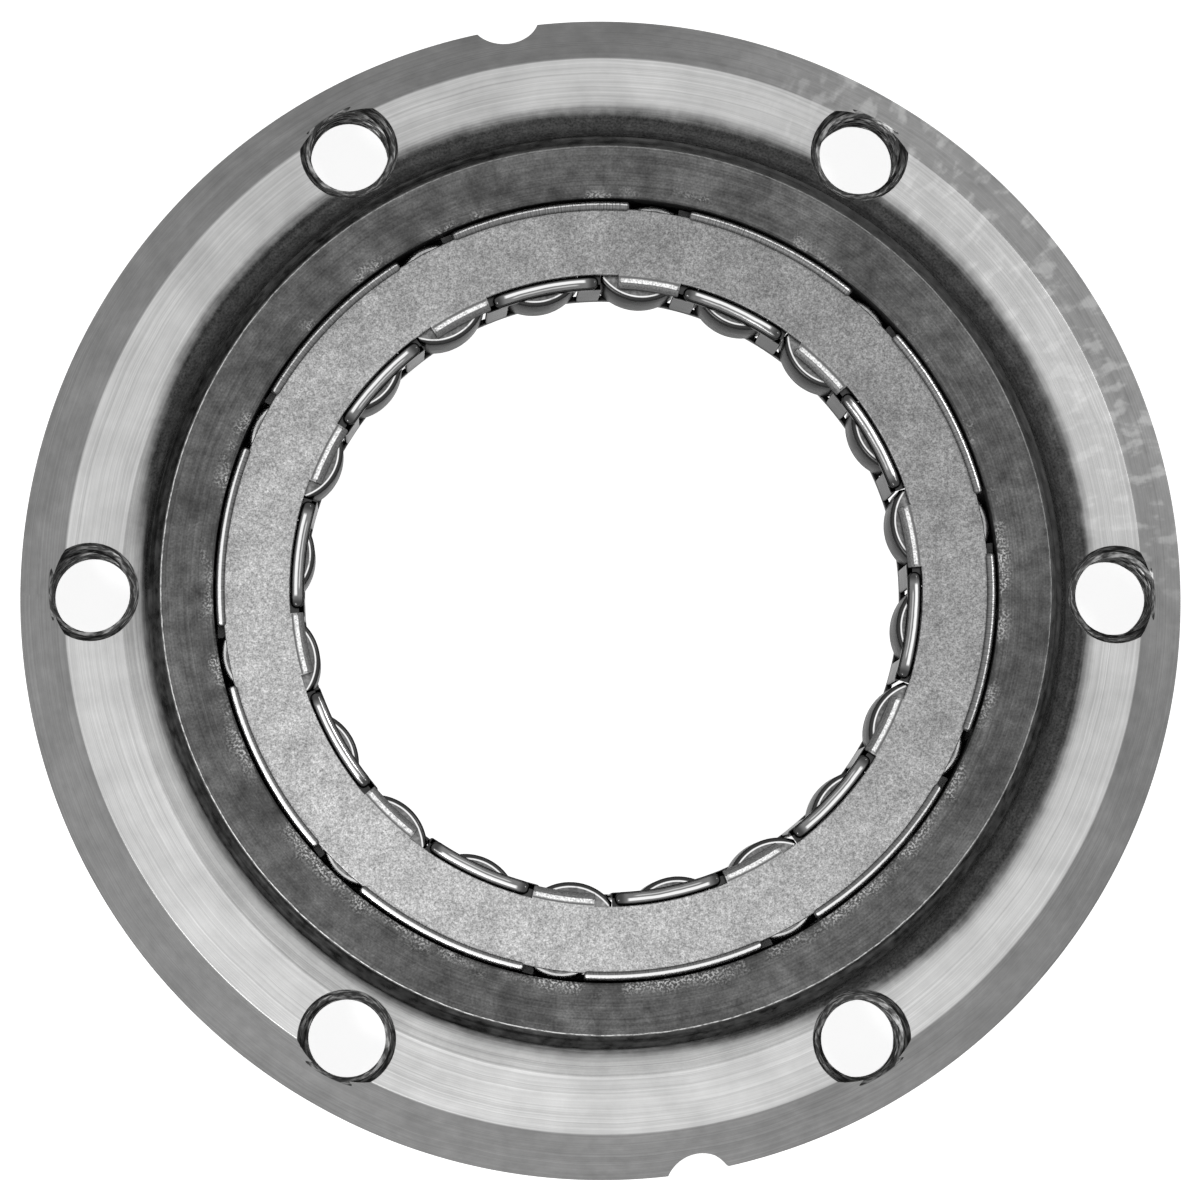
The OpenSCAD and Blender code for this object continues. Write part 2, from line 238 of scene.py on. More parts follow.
# %% Several parts as one, and what modifiers make
def joined(name, parts):
    """Several parts as one object."""
    work = bmesh.new()
    for part in parts:
        work.from_mesh(part.data)
    removed(parts)
    mesh = bpy.data.meshes.new(name)
    work.to_mesh(mesh)
    work.free()
    return new_object(name, mesh)


def as_plain_mesh(thing):
    """What the modifiers of an object make of it, as a mesh of its own."""
    graph = bpy.context.evaluated_depsgraph_get()
    return bpy.data.meshes.new_from_object(thing.evaluated_get(graph), depsgraph=graph)


print("joined, as_plain_mesh: ready")

# %% [markdown]
# ## Sums in node trees
# A worn surface is a sum of simple patterns, and so is a thread. In a tree, each plus and each times is a
# node of its own, which is hard to read in a script. So a socket gets a small wrapper, a field, and a sum
# of fields makes the Math nodes for us.

# %% Put a node in a tree
def feed(node, inputs):
    """Links each input that is given a field or a socket, and sets any other."""
    for key, value in inputs.items():
        value = getattr(value, "socket", value)
        if isinstance(value, bpy.types.NodeSocket):
            node.id_data.links.new(value, node.inputs[key])
        else:
            node.inputs[key].default_value = value


def put(tree, kind, settings=None, inputs=None):
    """Adds a node with its settings and inputs."""
    made = tree.nodes.new(kind)
    for key, value in (settings or {}).items():
        setattr(made, key, value)
    feed(made, inputs or {})
    return made


print("feed, put: ready")

# %% Fields
def maths(tree, what, *terms):
    """One Math node, as a field."""
    return Field(put(tree, "ShaderNodeMath", {"operation": what}, dict(enumerate(terms))).outputs[0])


class Field:
    """A value that changes from place to place: one socket, with the tree that it is in."""

    def __init__(self, socket):
        self.socket = socket
        self.tree = socket.id_data

    def maths(self, what, *terms):
        """A Math node with this field as its first term."""
        return maths(self.tree, what, self, *terms)

    def __add__(self, other):
        return self.maths("ADD", other)

    def __sub__(self, other):
        return self.maths("SUBTRACT", other)

    def __rsub__(self, other):
        return maths(self.tree, "SUBTRACT", other, self)

    def __mul__(self, other):
        return self.maths("MULTIPLY", other)

    def __truediv__(self, other):
        return self.maths("DIVIDE", other)

    def __rtruediv__(self, other):
        return maths(self.tree, "DIVIDE", other, self)

    def __abs__(self):
        return self.maths("ABSOLUTE")


print("Field, maths: ready")

# %% Fields of a node, a vector, and the greatest of several
def fields(node):
    """The outputs of a node, by name."""
    return {socket.name: Field(socket) for socket in node.outputs}


def vector(tree, x=0.0, y=0.0, z=0.0):
    """Three values as one vector."""
    return Field(put(tree, "ShaderNodeCombineXYZ", inputs={"X": x, "Y": y, "Z": z}).outputs[0])


def greatest(first, *others):
    """The greatest of several fields."""
    for other in others:
        first = first.maths("MAXIMUM", other)
    return first


print("fields, vector, greatest: ready")

# %% A node group with named sockets
def new_tree(name, kind, inputs, outputs):
    """A tree from inputs (name, type, default) and outputs (name, type): the tree itself, its inputs as
    fields, and its output node."""
    tree = bpy.data.node_groups.new(name, kind + "NodeTree")
    for label, sort, default in inputs:
        socket = tree.interface.new_socket(label, in_out="INPUT", socket_type="NodeSocket" + sort)
        if default is not None:
            socket.default_value = default
    for label, sort in outputs:
        tree.interface.new_socket(label, in_out="OUTPUT", socket_type="NodeSocket" + sort)
    return tree, fields(put(tree, "NodeGroupInput")), put(tree, "NodeGroupOutput")


def group_in(tree, group, **values):
    """A shader group with its own values, as fields."""
    inputs = {key.replace("_", " "): value for key, value in values.items()}
    return fields(put(tree, "ShaderNodeGroup", {"node_tree": group}, inputs))


print("new_tree, group_in: ready")

# %% [markdown]
# ## A tree that repeats a part round the axis
# Both cages carry the same bar, lip or tab ten or twenty times, and the race has six equal holes. Geometry
# Nodes suit that: the part is drawn once and placed by count and angle. Realize Instances turns the copies
# into real mesh at the end.

# %% The end of a shape tree, and the mesh it makes
def end_tree(tree, out, geometry, material):
    """Turns copies into real mesh, paints it and puts it out."""
    real = put(tree, "GeometryNodeRealizeInstances", inputs={0: geometry})
    painted = put(tree, "GeometryNodeSetMaterial", inputs={"Geometry": real.outputs[0], "Material": material})
    feed(out, {0: painted.outputs[0]})
    print("tree", tree.name, "has", len(tree.nodes), "nodes")


def baked(name, tree, values):
    """Runs a tree on an empty carrier and keeps the result as a plain mesh object."""
    carrier = new_object("carrier", bpy.data.meshes.new("carrier"))
    modifier = carrier.modifiers.new("tree", "NODES")
    modifier.node_group = tree
    for item in tree.interface.items_tree:
        if item.item_type == "SOCKET" and item.in_out == "INPUT" and item.name in values:
            modifier[item.identifier] = values[item.name]
    mesh = as_plain_mesh(carrier)
    removed([carrier])
    return new_object(name, mesh)


print("end_tree, baked: ready")

# %% The group that repeats one part
repeat, given, out = new_tree(
    "Repeat Round Axis", "Geometry",
    [("Part", "Geometry", None), ("Count", "Int", 10), ("First Angle", "Float", 0.0)],
    [("Geometry", "Geometry")])
spots = put(repeat, "GeometryNodePoints", inputs={"Count": given["Count"]})
index = Field(put(repeat, "GeometryNodeInputIndex").outputs[0])
turn = index * (math.tau / given["Count"]) + given["First Angle"].maths("RADIANS")
copies = put(repeat, "GeometryNodeInstanceOnPoints", inputs={
    "Points": spots.outputs[0], "Instance": given["Part"], "Rotation": vector(repeat, z=turn)})
feed(out, {0: copies.outputs[0]})
print("group", repeat.name)

# %% The tree of a cage: one turned part and two repeated ones
cage_tree, given, out = new_tree(
    "Cage", "Geometry",
    [("Rings", "Object", None),
     ("Bars", "Object", None), ("Bar Count", "Int", 20), ("Bar Angle", "Float", 0.0),
     ("Fronts", "Object", None), ("Front Count", "Int", 10), ("Front Angle", "Float", 0.0),
     ("Material", "Material", None)],
    [("Geometry", "Geometry")])
parts = {}
for name in ("Rings", "Bars", "Fronts"):
    info = put(cage_tree, "GeometryNodeObjectInfo", inputs={"Object": given[name]})
    parts[name] = info.outputs["Geometry"]
whole = put(cage_tree, "GeometryNodeJoinGeometry", inputs={0: parts["Rings"]})
for name in ("Bar", "Front"):
    group = put(cage_tree, "GeometryNodeGroup", {"node_tree": repeat}, {
        "Part": parts[name + "s"], "Count": given[name + " Count"], "First Angle": given[name + " Angle"]})
    feed(whole, {0: group.outputs[0]})
end_tree(cage_tree, out, whole.outputs[0], given["Material"])

# %% [markdown]
# ## Groups for the finishes
# All pieces are steel, yet no two look alike: turned, blasted, rolled, tumbled. What differs is the pattern
# on the surface, so the patterns are shader groups with sizes in millimetres, and each finish uses its own
# values. They read Object coordinates, so a pattern stays on its piece when the piece moves.

# %% Where a point lies: radius, angle and height
place, _, out = new_tree(
    "Place", "Shader", [],
    [("Radius", "Float"), ("Angle", "Float"), ("Height", "Float"), ("Point", "Vector")])
coords = put(place, "ShaderNodeTexCoord")
point = put(place, "ShaderNodeVectorMath", {"operation": "SCALE"}, {
    0: coords.outputs["Object"], "Scale": 1 / MM}).outputs[0]
xyz = fields(put(place, "ShaderNodeSeparateXYZ", inputs={0: point}))
flat = vector(place, xyz["X"], xyz["Y"])
reach = put(place, "ShaderNodeVectorMath", {"operation": "LENGTH"}, {0: flat})
feed(out, {"Radius": reach.outputs["Value"], "Angle": xyz["Y"].maths("ARCTAN2", xyz["X"]),
           "Height": xyz["Z"], "Point": point})
print("group", place.name)

# %% Noise, and values carried from one range to another
def noise(point, size=1.0, detail=2.0, rough=0.5):
    """Noise from 0 to 1 over a point, with features of a size."""
    return Field(put(point.tree, "ShaderNodeTexNoise", inputs={
        "Vector": point, "Scale": 1 / size, "Detail": detail, "Roughness": rough}).outputs[0])


def ramp(value, low, high, to_low=0.0, to_high=1.0, kind="SMOOTHSTEP"):
    """A field carried from one range to another, smoothly if not told otherwise, and held at both ends."""
    return Field(put(value.tree, "ShaderNodeMapRange", {"interpolation_type": kind}, {
        "Value": value, "From Min": low, "From Max": high, "To Min": to_low, "To Max": to_high}).outputs[0])


print("noise, ramp: ready")

# %% Turning marks: fine rings that break off and change round the part
marks, given, out = new_tree(
    "Turning Marks", "Shader", [("Spacing", "Float", 0.25), ("Drift", "Float", 0.3)], [("Tone", "Float")])
here = group_in(marks, place)
shifted = noise(here["Point"], 9.0) * given["Drift"] + here["Radius"]
spot = vector(marks, shifted / given["Spacing"], here["Angle"] * 1.2, here["Height"] * 0.4)
feed(out, {"Tone": noise(spot, detail=3.0, rough=0.6)})
print("group", marks.name)

# %% Grain: fine specks and soft smudges
grain, given, out = new_tree(
    "Grain", "Shader", [("Speck Size", "Float", 0.15), ("Smudge Size", "Float", 4.0)],
    [("Specks", "Float"), ("Smudges", "Float")])
here = group_in(grain, place)
feed(out, {"Specks": noise(here["Point"], given["Speck Size"], 1.0, 0.6),
           "Smudges": noise(here["Point"], given["Smudge Size"], 4.0, 0.6)})
print("group", grain.name)

# %% Scratches: thin lines in three directions, and only where the noise is high
scratch, given, out = new_tree(
    "Scratches", "Shader", [("Length", "Float", 3.0), ("Share", "Float", 0.3)], [("Mask", "Float")])
SCRATCH_STRETCH = 22.0
here = group_in(scratch, place)
limit = 0.86 - given["Share"] * 0.4
layers = []
for k, tilt in enumerate((0.35, 1.4, 2.6)):
    tilted = put(scratch, "ShaderNodeMapping", inputs={
        "Vector": here["Point"], "Rotation": (0, 0, tilt), "Location": (17.0 * k, 5.0 * k, 3.0 * k)})
    narrow = put(scratch, "ShaderNodeVectorMath", {"operation": "MULTIPLY"}, {
        0: tilted.outputs[0], 1: (1.0, SCRATCH_STRETCH, 1.0)})
    layers.append(ramp(noise(Field(narrow.outputs[0]), given["Length"], 1.5), limit, limit + 0.05))
feed(out, {"Mask": greatest(*layers)})
print("group", scratch.name)

# %% How far, in degrees, a point lies from the middle of the nearest repeated part
offset_place, given, out = new_tree(
    "Offset Place", "Shader", [("Step", "Float", 36.0), ("Middle", "Float", 0.0)], [("Offset", "Float")])
here = group_in(offset_place, place)
turns = (here["Angle"].maths("DEGREES") - given["Middle"]) / given["Step"]
feed(out, {"Offset": (turns - turns.maths("ROUND")) * given["Step"]})
print("group", offset_place.name)

# %% How deep a point lies under the two cams of the nearest sprag
CAM_R = 29.303
OUTER_CAM, INNER_CAM = (0.3, 3.796), (-0.42, 4.496)
cam_place, _, out = new_tree(
    "Cam Place", "Shader", [], [("Outer Depth", "Float"), ("Inner Depth", "Float")])
here = group_in(cam_place, place)
lean = group_in(cam_place, offset_place, Step=PITCH, Middle=FIRST_LINE)["Offset"].maths("RADIANS")
spot = vector(cam_place, here["Radius"] * lean.maths("SINE") * -1.0, here["Radius"] * lean.maths("COSINE"))
for label, (shift, cam_radius) in (("Outer Depth", OUTER_CAM), ("Inner Depth", INNER_CAM)):
    away = put(cam_place, "ShaderNodeVectorMath", {"operation": "DISTANCE"}, {
        0: spot, 1: (shift, CAM_R, 0.0)})
    feed(out, {label: cam_radius - Field(away.outputs["Value"])})
print("group", cam_place.name)

# %% [markdown]
# ## Tools for a finish
# Each finish starts as a plain steel, and its base colour is mixed from grey values, written as 0 to 255 or
# in linear light. Masks say where a tone goes: at a radius, on a side of the part, along a lug.

# %% Start a finish
def grey(level):
    """The linear value of a grey written as 0 to 255."""
    c = level / 255
    return c / 12.92 if c <= 0.04045 else ((c + 0.055) / 1.055) ** 2.4


def node_of(tree, kind):
    """The node of a kind that a new material or world already has."""
    return next(node for node in tree.nodes if node.type == kind)


def new_finish(name, roughness):
    """A steel: its material, its tree, its Principled shader and the fields that say where a point is."""
    material = bpy.data.materials.new(name)
    material.use_nodes = True
    tree = material.node_tree
    shader = node_of(tree, "BSDF_PRINCIPLED")
    feed(shader, {"Metallic": 1.0, "Roughness": roughness, "Specular Tint": (0.3, 0.3, 0.3, 1.0)})
    return material, tree, shader, group_in(tree, place)


print("the grey 128 is", round(grey(128), 3), "in linear light")

# %% Masks and mixtures
def mixed(share, first, second):
    """A value that goes from first to second with a share."""
    return Field(put(share.tree, "ShaderNodeMix", {"data_type": "FLOAT", "clamp_factor": True}, {
        "Factor": share, "A": first, "B": second}).outputs["Result"])


def band(value, middle, half, soft):
    """1 where a field is near the middle, and 0 beyond a soft edge."""
    return ramp(abs(value - middle), half + soft, half)


def towards(here, degrees):
    """1 on the side of the part at this angle, -1 across from it."""
    return (here["Angle"] - math.radians(degrees)).maths("COSINE")


def varied(value, *patterns):
    """A value that patterns make lighter and darker, each by a share of the value: (pattern, share)."""
    for pattern, share in patterns:
        value = ((pattern - 0.5) * (2.0 * share) + 1.0).maths("MAXIMUM", 0.05) * value
    return value


def coloured(shader, value, tint=(1.0, 1.0, 1.0)):
    """Feeds a grey value, with a faint tint, to the base colour."""
    channels = {key: value * part for key, part in zip(("Red", "Green", "Blue"), tint)}
    colour = put(value.tree, "ShaderNodeCombineColor", inputs=channels)
    feed(shader, {"Base Color": colour.outputs[0]})


def bumped(shader, height, depth):
    """Feeds a height, in millimetres when multiplied by depth, to the normal."""
    made = put(height.tree, "ShaderNodeBump", inputs={
        "Strength": 1.0, "Distance": depth * MM, "Height": height})
    feed(shader, {"Normal": made.outputs[0]})


print("masks and mixtures: ready")

# %% [markdown]
# ## The finish of the race
# The race is turned steel that has been heat treated. The flange face was skimmed bright afterwards, the
# cone at the rim was left dull, and the root of the hub kept its dark scale, with a painted shadow of the hub
# that widens it on the side away from the lower left. The face and the cone are painted lighter on one side,
# with painted highlights. All that is one material, since it is one piece, and masks by radius and height
# tell the zones apart.

# %% Patterns of the race
race_steel, tree, shader, here = new_finish("race_steel", 0.38)
radius, angle, height = here["Radius"], here["Angle"], here["Height"]
turning = group_in(tree, marks, Spacing=0.16, Drift=0.35)["Tone"]
coarse = group_in(tree, marks, Spacing=0.5, Drift=0.2)["Tone"]
thin = group_in(tree, marks, Spacing=0.09, Drift=0.5)["Tone"]
dirt = group_in(tree, grain, Speck_Size=0.2, Smudge_Size=5.0)
fine = group_in(tree, grain, Speck_Size=0.4, Smudge_Size=1.3)["Smudges"]
lines = group_in(tree, scratch, Length=2.2, Share=0.36)["Mask"]
low_left = towards(here, 232)
# painted highlight streaks, only on the side round 36 degrees that faces the right lamp; they lighten the
# face and the cone
lit_streaks = ramp(noise(vector(tree, angle * 34.0, radius * 0.35), detail=3.0), 0.50, 0.66)
lit_streaks = lit_streaks * band(angle, math.radians(36), 0.42, 0.35)
print("patterns of the race:", len(tree.nodes), "nodes")

# %% The flange face: skimmed bright outside, dark scale with a painted shadow of the hub round the hub, with a ragged edge between them
SCALE_AND_SHADOW_R = 41.8
# painted light: the skimmed face is lighter towards the lower left, with a painted sheen band round 65
# degrees
skimmed_and_lit = towards(here, 250) * 0.075 + 0.49 + band(angle, math.radians(65), 0.35, 0.6) * 0.05
skimmed_and_lit = varied(skimmed_and_lit, (turning, 0.2), (thin, 0.35), (dirt["Smudges"], 0.3)) + lit_streaks * 0.07
# dark round the hub: partly real scale, partly a painted shadow of the hub
scale_and_hub_shadow = varied(0.05, (fine, 0.7), (coarse, 0.8), (dirt["Specks"], 0.9))
# painted shadow of the hub: the dark zone reaches 2.45 mm further out on the side away from the lower left
past_edge = radius - (SCALE_AND_SHADOW_R - ramp(low_left, 0.0, 0.8) * 2.45)
past_edge = past_edge + (fine - 0.5) * 0.5 + (coarse - 0.5) * 0.8
past_scale_and_shadow = ramp(past_edge, -0.95, 0.6)
face = mixed(past_scale_and_shadow, scale_and_hub_shadow, skimmed_and_lit)
print("the scale ends near radius", SCALE_AND_SHADOW_R)

# %% The cone at the rim: dull, painted lighter towards the lower left, with a painted highlight band
# painted light: the cone is lighter towards the lower left, with a painted highlight band round 38 degrees
cone = towards(here, 245) * 0.025 + 0.185 + band(angle, math.radians(38), 0.35, 0.6) * 0.09
cone = varied(cone, (thin, 0.35), (fine, 0.2), (dirt["Smudges"], 0.25)) + lit_streaks * 0.12
outside = mixed(ramp(radius, FLANGE_R - 0.15, FLANGE_R + 0.1), face, cone)
print("the cone starts at radius", FLANGE_R)

# %% The hub: a scratched front face with a painted highlight along its edge and pits at the bore, and a dark flank with a painted highlight on one side
top = varied(grey(89), (dirt["Smudges"], 0.8), (fine, 0.8), (turning, 0.6), (dirt["Specks"], 0.5))
top = lines * ramp(fine, 0.42, 0.62) * 0.05 + top
patches = ramp(towards(here, 250) * 0.06 + dirt["Smudges"], 0.46, 0.62)
off_bore = (fine - 0.5) * 1.9 + radius
near_bore = ramp(off_bore, BORE_R + 1.41, BORE_R + 0.01) * ramp(dirt["Specks"], 0.44, 0.66) * patches
dashes = ramp(noise(vector(tree, angle * 75.0, radius * 6.5), detail=4.0), 0.38, 0.56, 0.3, 1.0)
# painted highlight: a broken bright line along the front edge of the hub, strongest on the lower left
hub_edge_highlight = band(fine * 0.14 + radius, HUB_EDGE_R + 0.04, 0.02, 0.05) * dashes
hub_edge_highlight = hub_edge_highlight * ramp(low_left, -0.75, 0.5, 0.25, 1.0)
top = mixed(hub_edge_highlight, mixed(near_bore, top, grey(188)), grey(206))
# painted highlight on the dark flank, on the side round 40 degrees that faces the right lamp
flank = band(angle, math.radians(40), 0.5, 0.7) * 0.035 + varied(0.046, (coarse, 1.6), (fine, 1.6))
hub = mixed(ramp(height, HUB_TOP - 0.3, HUB_TOP - 0.1), flank, top)
zones = mixed(ramp(radius, HUB_R + 0.15, HUB_R - 0.05), outside, hub)
print("the hub ends at radius", HUB_R)

# %% The threads: painted highlight and shade as light and dark turns on the walls of the holes, only below the skin of the flange
THREAD_TONE_R = 4.3
across = group_in(tree, offset_place, Step=360 / HOLE_COUNT, Middle=0.0)["Offset"].maths("RADIANS") * radius
outward = radius - HOLE_CIRCLE_R
off_hole = (across * across + outward * outward).maths("SQRT")
# painted highlight and shade of the thread turns on the hole walls
thread_shading = mixed(ramp(noise(vector(tree, across, outward, height * 6.5), detail=4.0), 0.42, 0.66), 0.07, 0.42)
cone_slope = (RIM_TOP - FLANGE_TOP) / (RIM_R - FLANGE_R)
skin_height = ((radius - FLANGE_R) * cone_slope + FLANGE_TOP).maths("MINIMUM", FLANGE_TOP)
sunk = ramp(skin_height - height, 0.03, 0.12)
zones = mixed(ramp(off_hole, THREAD_TONE_R, THREAD_TONE_R - 0.05) * sunk, zones, thread_shading)
print("the cone's slope is", round(cone_slope, 3))

# %% Colour, gloss and relief of the race
coloured(shader, zones, (1.0, 1.0, 0.995))
rough = mixed(past_scale_and_shadow, 0.5, mixed(ramp(radius, 41.4, 41.0), 0.36, 0.8))
feed(shader, {"Roughness": dirt["Specks"] * 0.08 + rough})
bumped(shader, turning * 0.7 + dirt["Specks"] * 0.5, 0.012)
print("finish", race_steel.name, "has", len(tree.nodes), "nodes")

# %% [markdown]
# ## The finish of the outer cage
# The outer cage is blasted sheet: even fine specks, painted lighter towards the lower left. Its rolled lip
# has a painted highlight on the crown, and painted shade at its back edge; its slope towards the face keeps
# the striations of the roll. The tabs have a painted highlight on the crown of their bend, with painted shade
# beside it, and all below the face is painted darker.

# %% The blasted face and the rolled lips
LIP_MIDDLE = FIRST_LINE + FRONT_STEP / 2 + TAB_MIDDLE
LIP_CROWN_R, LIP_BACK_R = 32.80, 33.0
outer_steel, tree, shader, here = new_finish("outer_cage_steel", 0.5)
radius, angle, height = here["Radius"], here["Angle"], here["Height"]
sand = group_in(tree, grain, Speck_Size=0.13, Smudge_Size=2.4)
dots = group_in(tree, grain, Speck_Size=0.35, Smudge_Size=9.0)["Specks"]
# painted light: the blasted face is lighter towards the lower left
blasted_and_lit = towards(here, 230) * 0.10 + 0.345
blasted_and_lit = varied(blasted_and_lit, (sand["Specks"], 0.9), (sand["Smudges"], 0.45), (dots, 0.5))

along = group_in(tree, offset_place, Step=FRONT_STEP, Middle=LIP_MIDDLE)["Offset"]
strokes = noise(vector(tree, angle * 260.0, radius * 0.8), detail=1.0)
# painted highlight on the crown of each lip, wider and stronger towards the lower left
lit_side = ramp(towards(here, 240), -0.1, 0.6)
off_crown = abs(radius - (lit_side * -0.01 + LIP_CROWN_R))
lip_highlight = ramp(off_crown - (lit_side * 0.13 + 0.12), 0.05, -0.03) * band(along, 0.0, 13.15, 0.25)
lip_highlight = lip_highlight * ramp(lit_side * 0.3 + strokes, 0.30, 0.55, 0.25, 1.0)
lip = mixed(lip_highlight, varied(grey(112), (strokes, 1.0)), grey(240))
# painted shade: a dark line at the back edge of the lip, next to the race
lip = mixed(ramp(radius, LIP_BACK_R - 0.03, LIP_BACK_R + 0.03), lip, grey(45))
base = mixed(ramp(height, FACE_TOP + 0.02, FACE_TOP + 0.12), blasted_and_lit, lip)
print("lips are brightest at radius", LIP_CROWN_R)

# %% The tabs, with painted highlight and shade on their bend, and the end of the finish
TAB_CROWN_R, TAB_EDGE_R, TAB_ROOT_R = 26.31, 26.16, 26.62
beside = group_in(tree, offset_place, Step=FRONT_STEP, Middle=FIRST_LINE + TAB_MIDDLE)["Offset"]
on_tab = band(beside, 0.0, 5.45, 0.3)
# painted shade: a grey line in the crease at the root of each tab
base = mixed(on_tab * band(radius, TAB_ROOT_R, 0.03, 0.1), base, grey(104))
# darker on the inner side of the tab's edge, with a painted shade line along that edge
inner_side = ramp(radius, TAB_EDGE_R + 0.02, TAB_EDGE_R - 0.06)
base = mixed(inner_side, base, varied(grey(112), (sand["Specks"], 0.8)))
base = mixed(on_tab * band(radius, TAB_EDGE_R, 0.02, 0.05), base, grey(66))
# painted highlight on the crown of each tab's bend
tab_highlight = band(beside, 0.0, 5.1, 0.3) * band(radius, TAB_CROWN_R, 0.13, 0.06)
base = mixed(tab_highlight, base, varied(grey(218), (sand["Specks"], 1.0)))
# painted shade: all of the cage below its face is darker
base = mixed(ramp(height, 13.3, 12.9), base, grey(84))
coloured(shader, base)
feed(shader, {"Roughness": mixed(lip_highlight, sand["Specks"] * 0.2 + 0.4, 0.3)})
bumped(shader, sand["Specks"], 0.02)
print("finish", outer_steel.name, "has", len(tree.nodes), "nodes")

# %% [markdown]
# ## The finish of the inner cage
# The inner cage is smooth rolled steel. The crown of each lug gets two painted highlight streaks along its
# middle, while its ends and flanks, and all of the cage below the lugs, are painted in shade.

# %% Finish of the inner cage
LUG_MIDDLE = FIRST_LINE + 18.4
LUG_CROWN_R = 26.12
inner_steel, tree, shader, here = new_finish("inner_cage_steel", 0.2)
radius, height = here["Radius"], here["Height"]
oil = group_in(tree, grain, Speck_Size=0.4, Smudge_Size=2.0)
off_middle = abs(group_in(tree, offset_place, Step=FRONT_STEP, Middle=LUG_MIDDLE)["Offset"])
drift = (oil["Smudges"] - 0.5) * 0.12 + radius
rolled_and_lit = varied(grey(122), (oil["Smudges"], 0.5))
# painted shade: the ends of each lug are dark
rolled_and_lit = mixed(ramp(off_middle, 7.6, 9.0), rolled_and_lit, grey(70))
# painted shade: the flanks of each lug are dark
rolled_and_lit = mixed(ramp(abs(radius - LUG_CROWN_R), 0.40, 0.52), rolled_and_lit, grey(46))
# painted highlight: a bright streak along the middle of the crown
lug_highlight = band(drift, LUG_CROWN_R + 0.12, 0.08, 0.08) * ramp(off_middle, 7.9, 7.3)
rolled_and_lit = mixed(lug_highlight, rolled_and_lit, grey(246))
# a second, fainter painted highlight streak beside the first
second = band(drift, LUG_CROWN_R - 0.17, 0.02, 0.06) * ramp(off_middle, 6.8, 5.6)
rolled_and_lit = mixed(second, rolled_and_lit, grey(196))
# painted shade: all of the cage below the lugs is dark, varied by the smudges
base = mixed(ramp(height, 13.2, 12.7), rolled_and_lit, varied(grey(66), (oil["Smudges"], 0.8)))
coloured(shader, base)
feed(shader, {"Roughness": oil["Smudges"] * 0.12 + 0.14})
bumped(shader, oil["Specks"], 0.006)
print("finish", inner_steel.name, "has", len(tree.nodes), "nodes")

# %% [markdown]
# ## The finishes of the sprags and of the spring
# A sprag is ground on its cams and tumbled at its ends. A painted highlight lies inside the rounded edge at
# the inner cam, and another on the edge of the outer cam.
# The pattern follows the cams: a group works out how deep a point lies under each cam of the nearest sprag.

# %% Finish of the sprags
SPRAG_LOW, SPRAG_TOP = 4.7, 12.2
SPRAG_EDGE = 0.3
sprag_steel, tree, shader, here = new_finish("sprag_steel", 0.3)
radius, height = here["Radius"], here["Height"]
wear = group_in(tree, grain, Speck_Size=0.3, Smudge_Size=1.8)
depths = group_in(tree, cam_place)
inner_depth, outer_depth = depths["Inner Depth"], depths["Outer Depth"]
top_end = ramp(height, SPRAG_TOP - 0.35, SPRAG_TOP - 0.25)
low_end = ramp(height, SPRAG_LOW + 0.35, SPRAG_LOW + 0.25)
tumbled_and_lit = mixed(ramp(radius, 26.15, 26.5), grey(114), grey(142))
tumbled_and_lit = varied(tumbled_and_lit, (wear["Specks"], 0.8), (wear["Smudges"], 0.7))
tumbled_and_lit = mixed(ramp(inner_depth, SPRAG_EDGE + 0.02, SPRAG_EDGE - 0.02), tumbled_and_lit, grey(58))
# painted highlight: a bright line just inside the rounded edge at the inner cam, broken by the smudges
line = band(inner_depth, SPRAG_EDGE + 0.10, 0.035, 0.05) * ramp(wear["Smudges"], 0.24, 0.40, 0.3, 1.0)
tumbled_and_lit = mixed(line, tumbled_and_lit, grey(250))
# painted highlight on the outer head, near the edge of its cam
tumbled_and_lit = mixed(ramp(outer_depth, 0.5, 0.42) * ramp(radius, 30.6, 31.0), tumbled_and_lit, grey(240))
ground = varied(grey(58), (wear["Smudges"], 0.8))
coloured(shader, mixed(greatest(top_end, low_end), ground, tumbled_and_lit))
feed(shader, {"Roughness": wear["Smudges"] * 0.16 + 0.2})
bumped(shader, wear["Specks"], 0.006)
print("finish", sprag_steel.name, "has", len(tree.nodes), "nodes")

# %% Finish of the ribbon spring
spring_steel, tree, shader, _ = new_finish("spring_steel", 0.25)
wear = group_in(tree, grain, Speck_Size=0.3, Smudge_Size=2.5)
coloured(shader, varied(grey(104), (wear["Smudges"], 0.5)), (0.98, 0.99, 1.0))
feed(shader, {"Roughness": wear["Specks"] * 0.15 + 0.2})
bumped(shader, wear["Specks"], 0.004)
print("finish", spring_steel.name, "has", len(tree.nodes), "nodes")

# %% [markdown]
# ## Finishing a piece
# A piece that CAD has too plainly is replaced: the new one rides on the same body and stands for the node.

# %% Put a finished piece in place
def finish_piece(made, material, body, node, sharp=32):
    """Smooths, paints and places a piece that stands for a CAD node."""
    mesh = made.data
    mesh.materials.clear()
    mesh.materials.append(material)
    mesh.polygons.foreach_set("material_index", [0] * len(mesh.polygons))
    mesh.shade_smooth()
    mesh.set_sharp_from_angle(angle=math.radians(sharp))
    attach(made, body)
    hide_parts(node)
    count = sum(len(p.vertices) - 2 for p in mesh.polygons)
    print(made.name, "stands for", node, "with", count, "triangles")


print("finish_piece: ready")

# %% [markdown]
# ## The race
# The race is one section spun round the axis. Small radii go on every corner, because a real turned edge
# always carries one. The six holes are tapped, so they are cut with a tool that has the thread on it, and a
# thread follows a rule: its radius rises and falls along a helix. So a tree bends a plain cylinder into
# a tap.

